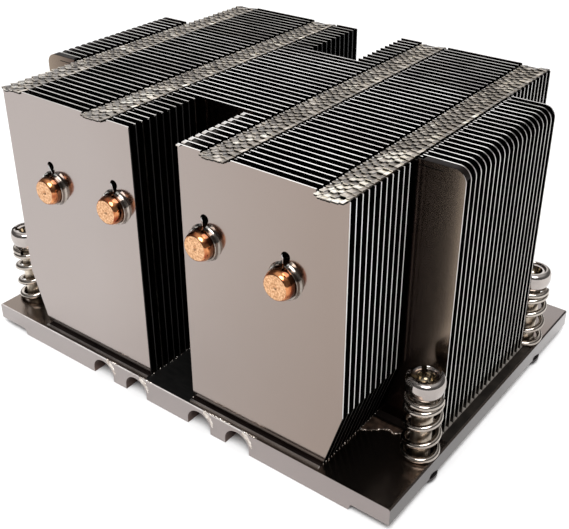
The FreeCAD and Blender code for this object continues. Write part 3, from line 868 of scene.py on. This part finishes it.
def foot_beads():
    """A broken row of beads at the inner foot of each block and an even one at its outer foot."""
    places = []
    for side in (-1, 1):
        for row in range(34):
            y = FIRST_FACE + PITCH * row
            for shift in (0.2, 0.9):
                if random.random() < 0.85:
                    r = random.uniform(0.12, 0.26)
                    x = side * (BLOCK_IN - 0.1 - random.uniform(0, 0.25))
                    places.append((x, y + shift + random.uniform(-0.2, 0.2), PLATE_Z + 0.1, r, r * 1.3, r))
    for side in (-1, 1):
        for row in range(FIRST_WIDE):
            for shift in (0.3, 1.2):
                r = random.uniform(0.1, 0.2)
                y = FIRST_FACE + PITCH * row + shift
                places.append((side * (BLOCK_OUT - 4.0), y, PLATE_Z + 0.1, r, r, r))
    return blobs("foot_solder", places)


def edge_beads():
    """Smears beside each groove on the plate's front edge, from the shoulder up to the top edge."""
    shoulder = ((1.8, 4.65, 0.62), (2.35, 4.3, 0.75), (2.85, 3.95, 0.62), (3.2, 3.4, 0.55),
                (3.4, 2.8, 0.45), (3.6, 2.25, 0.3))
    places = []
    for groove in GROOVE_XS:
        for dx, z, r in shoulder:
            x = groove + dx + random.uniform(-0.12, 0.12)
            places.append((x, -PLATE_Y + 0.02, z, r, 0.1, r * 0.9))
        for k in range(8):
            r = random.uniform(0.18, 0.42)
            x = groove + 1.2 + 0.5 * k + random.uniform(-0.2, 0.2)
            places.append((x, -PLATE_Y + 0.22, PLATE_Z - 0.02, r, 0.2, 0.12))
    for k in range(10):
        x = 11.8 + 0.55 * k + random.uniform(-0.2, 0.2)
        places.append((x, -PLATE_Y + 0.25, PLATE_Z, random.uniform(0.2, 0.45), 0.22, 0.16))
    return blobs("edge_solder", places)


def corner_beads():
    """Bright round ends of the left block's top edges at the notch."""
    places = [(-BLOCK_IN - 0.22, FIRST_FACE + PITCH * row + 0.14, FIN_TOP - 0.24, 0.26, 0.22, 0.2)
              for row in range(FIRST_WIDE)]
    return blobs("corner_solder", places)


def wide_feet():
    """Flange in front of the first wide fin, lying on the plate, with a raised front edge."""
    b = Builder()
    front, step = WIDE_BANK - 2.4, WIDE_BANK - 2.0
    for side in (-1, 1):
        across = mirrored(side, *WIDE_FLANGE)
        b.flange(across, (front, step), 0.3, (0, 0, 0))
        b.flange(across, (step, WIDE_BANK), 0.2, (1, 1, 1))
    # Raised edge in tab_dark and step in the near-black cover finish: painted shade
    return b.build("wide_feet", ["tab_dark", "cover"], slot="plated_fin")


# Outline of the painted reflection in front of the right wide fin, and its rear end
REFLECTION_EDGE = [(38.2, -24.4), (38.9, -24.2), (39.6, -23.8), (40.5, -23.1), (41.3, -22.3), (42.3, -21.4),
             (43.2, -21.3), (44.1, -21.6), (45.0, -21.0), (45.9, -20.3)]
REFLECTION_BACK = -19.85


def fin_reflection_pool():
    """Brown patch on the plate in front of the right wide fin, a painted reflection of the wide fin's face,
    with a beaded edge of solder that also stands in for the reflection's light rim.
    """
    b = Builder()
    outline = REFLECTION_EDGE + [(46.2, REFLECTION_BACK), (38.2, REFLECTION_BACK)]
    b.flat(outline, [], lying, PLATE_Z, PLATE_Z + 0.05, (0, 0, 0))
    b.build("fin_reflection_pool", ["fin_reflection"], slot="plated_base")
    places = []
    for (x0, y0), (x1, y1) in zip(REFLECTION_EDGE, REFLECTION_EDGE[1:]):
        for share in (0.0, 0.35, 0.7):
            r = random.uniform(0.12, 0.28)
            x = x0 + (x1 - x0) * share + random.uniform(-0.1, 0.1)
            y = y0 + (y1 - y0) * share + random.uniform(-0.1, 0.1)
            places.append((x, y, PLATE_Z + 0.03, r, r * 0.8, r * 0.7))
    return blobs("reflection_edge_beads", places)


foot_beads()
edge_beads()
corner_beads()
wide_feet()
fin_reflection_pool()


# Screws, springs and rings
def head_slots(x, y):
    """Tool for two slots through the rim of a screw's head, at the photograph's far side and left.
    Its other two arms end short of the rim."""
    reach, near, half = 3.9, 1.5, 0.5
    outline = [(near, -half), (near, half), (half, half), (half, reach), (-half, reach), (-half, half),
               (-reach, half), (-reach, -half), (-half, -half), (-half, -near), (half, -near), (half, -half)]
    c, s = math.cos(math.radians(AZ)), math.sin(math.radians(AZ))
    tool = Builder()
    tool.flat([(x + u * c - v * s, y + u * s + v * c) for u, v in outline], [], lying,
              HEAD_Z + 3.5, HEAD_Z + 6, (0, 0, 0))
    return tool.build("recess_cutter", ["recess"])


def captive_screw(number, x, y):
    """Screw with groove and shank. Its ball-like head has a bowl in the top with slots in its rim."""
    shank = [(1.6, 0.15), (SHANK_R, 0.5), (SHANK_R, 0.72), (SHANK_GROOVE_R, 0.72), (SHANK_GROOVE_R, 1.38),
             (SHANK_R, 1.38), (SHANK_R, HEAD_Z)]
    head = [(2.85, 0), (3.05, 0.2), (3.45, 1.1), (3.68, 1.9), (3.72, 2.6), (3.68, 3.35), (3.55, 3.8),
            (3.25, 4.12), (2.85, 4.28), (2.55, 4.3), (2.42, 4.2), (2.36, 3.95), (2.25, 3.88), (1.8, 3.86)]
    bowl = [(1.7, 3.7), (1.5, 2.8), (1.0, 2.3), (0.02, 2.1)]
    b = Builder()
    profile = shank + [(r, HEAD_Z + h) for r, h in head + bowl]
    # The bowl takes the darkened recess finish: painted shade
    b.revolve(profile, (x, y, 0), 56, [0] * 5 + [2] * 2 + [0] * 13 + [1] * 4)
    obj = b.build(f"captive_screw_{number}", ["screw", "recess", "shank"], body=f"screw_{number}",
                  slot="screw_steel", replaces=[f"spring_screw_{number}"])
    cut(obj, [head_slots(x, y)])
    shade_smooth(obj, 40)
    return obj


def coil_height(turn):
    """Height of the wire above the plate at a turn, on straight lines between the knots."""
    turn = min(max(turn, COIL_KNOTS[0][0]), COIL_KNOTS[-1][0])
    for (t0, h0), (t1, h1) in zip(COIL_KNOTS, COIL_KNOTS[1:]):
        if turn <= t1:
            return h0 + (h1 - h0) * (turn - t0) / (t1 - t0)


def coil(number, x, y):
    """Closed end compression spring, flattened by the press of its screw."""
    steps = 280
    start, end = COIL_KNOTS[0][0], COIL_KNOTS[-1][0]
    # Turns are counted from the photograph's left side on screw 1, and from its near side on the others
    first = math.radians(AZ - (180 if number == 1 else 90))
    path = []
    for i in range(steps + 1):
        turn = start + (end - start) * i / steps
        level = sum(coil_height(turn + d / 20) for d in range(-3, 4)) / 7
        t = first + 2 * math.pi * turn
        path.append((x + COIL_R * math.cos(t), y + COIL_R * math.sin(t), PLATE_Z + level))
    b = Builder()
    b.sweep(path, WIRE_R, 20)
    obj = b.build(f"coil_spring_{number}", ["spring"], smooth=True, slot="spring_steel",
                  replaces=[f"spring_{number}"])
    shade_smooth(obj, 50)
    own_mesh(obj)
    return obj


def snap_ring(number, x, y):
    """Open ring in the screw's groove, with its mouth towards the middle of the plate."""
    sign = -1 if y > 0 else 1
    outline = arc(0, 0, RING_OUT_R, 110, 430, 40) + arc(0, 0, RING_IN_R, 400, 140, 30)
    b = Builder()
    b.flat([(x + sign * u, y + sign * v) for u, v in outline], [], lying, *RING_Z, (0, 0, 0))
    return b.build(f"snap_ring_{number}", ["ring"], body=f"ring_{number}", slot="ring_steel",
                   replaces=[f"retaining_ring_{number}"])


for number, (x, y) in SCREWS.items():
    captive_screw(number, x, y)
    coil(number, x, y)
    snap_ring(number, x, y)


# Floor, light and camera
def floor():
    mat, tree, shader = new_material("floor")
    ramp = noise_ramp(tree, 3, (0.97, 0.97, 0.97), (0.99, 0.99, 0.99))[1]
    tree.links.new(ramp.outputs["Color"], shader.inputs["Base Color"])
    shader.inputs["Roughness"].default_value = 0.9
    mesh = bpy.data.meshes.new("floor")
    mesh.from_pydata([(-3, -3, 0), (3, -3, 0), (3, 3, 0), (-3, 3, 0)], [], [[0, 1, 2, 3]])
    mesh.materials.append(mat)
    obj = bpy.data.objects.new("floor", mesh)
    obj.location.z = -0.0001
    bpy.context.scene.collection.objects.link(obj)


def towards(azimuth, elevation):
    """Direction from the object, with azimuth 0 at the front."""
    a, e = math.radians(azimuth), math.radians(elevation)
    return Vector((math.sin(a) * math.cos(e), -math.cos(a) * math.cos(e), math.sin(e)))


# Bright parts of the room as (direction, inner angle, outer angle, value), and the rest of it
LOBES = [
    ((0, 0, 1), 20, 55, 0.6),
    ((-0.54, 0.684, 0.49), 12, 38, 1.25),
]
DIM = 0.16


def studio():
    """Grey room with soft bright parts overhead and at the back left."""
    world = bpy.data.worlds.new("studio")
    bpy.context.scene.world = world
    world.use_nodes = True
    tree = world.node_tree
    background = tree.nodes["Background"]
    background.inputs["Color"].default_value = (1, 1, 1, 1)
    coords = tree.nodes.new("ShaderNodeTexCoord")
    total = None
    for direction, inner, outer, value in LOBES:
        dot = tree.nodes.new("ShaderNodeVectorMath")
        dot.operation = "DOT_PRODUCT"
        dot.inputs[1].default_value = Vector(direction).normalized()
        tree.links.new(coords.outputs["Generated"], dot.inputs[0])
        spread = tree.nodes.new("ShaderNodeMapRange")
        spread.interpolation_type = "SMOOTHSTEP"
        spread.inputs["From Min"].default_value = math.cos(math.radians(outer))
        spread.inputs["From Max"].default_value = math.cos(math.radians(inner))
        spread.inputs["To Max"].default_value = value
        tree.links.new(dot.outputs["Value"], spread.inputs["Value"])
        sum_up = tree.nodes.new("ShaderNodeMath")
        sum_up.operation = "ADD"
        if total is None:
            sum_up.inputs[0].default_value = DIM
        else:
            tree.links.new(total, sum_up.inputs[0])
        tree.links.new(spread.outputs["Result"], sum_up.inputs[1])
        total = sum_up.outputs[0]
    tree.links.new(total, background.inputs["Strength"])


def sun(azimuth, elevation, width, power):
    """Soft light from one side, given by where it stands."""
    data = bpy.data.lights.new("key", "SUN")
    data.energy = power
    data.angle = math.radians(width)
    obj = bpy.data.objects.new("key", data)
    obj.rotation_euler = towards(azimuth, elevation).to_track_quat("Z", "Y").to_euler()
    bpy.context.scene.collection.objects.link(obj)


def camera():
    """Camera at the photograph's angle, shifted to the centre of its view."""
    data = bpy.data.cameras.new("camera")
    data.sensor_width = SENSOR
    data.lens = FOCAL / FRAME_W * SENSOR
    data.shift_x = (FRAME_W / 2 - CX) / FRAME_W
    data.shift_y = -(FRAME_H / 2 - CY) / FRAME_W
    data.clip_start = 0.01
    cam = bpy.data.objects.new("camera", data)
    cam.location = Vector(CAMERA_AT) * MM
    look = (-towards(AZ, EL)).to_track_quat("-Z", "Y").to_matrix().to_4x4()
    cam.rotation_euler = (look @ Matrix.Rotation(math.radians(ROLL), 4, "Z")).to_euler()
    bpy.context.scene.collection.objects.link(cam)
    bpy.context.scene.camera = cam


floor()
studio()
sun(azimuth=AZ - 8, elevation=62, width=36, power=2.7)
camera()
bpy.context.scene.view_settings.view_transform = "Standard"
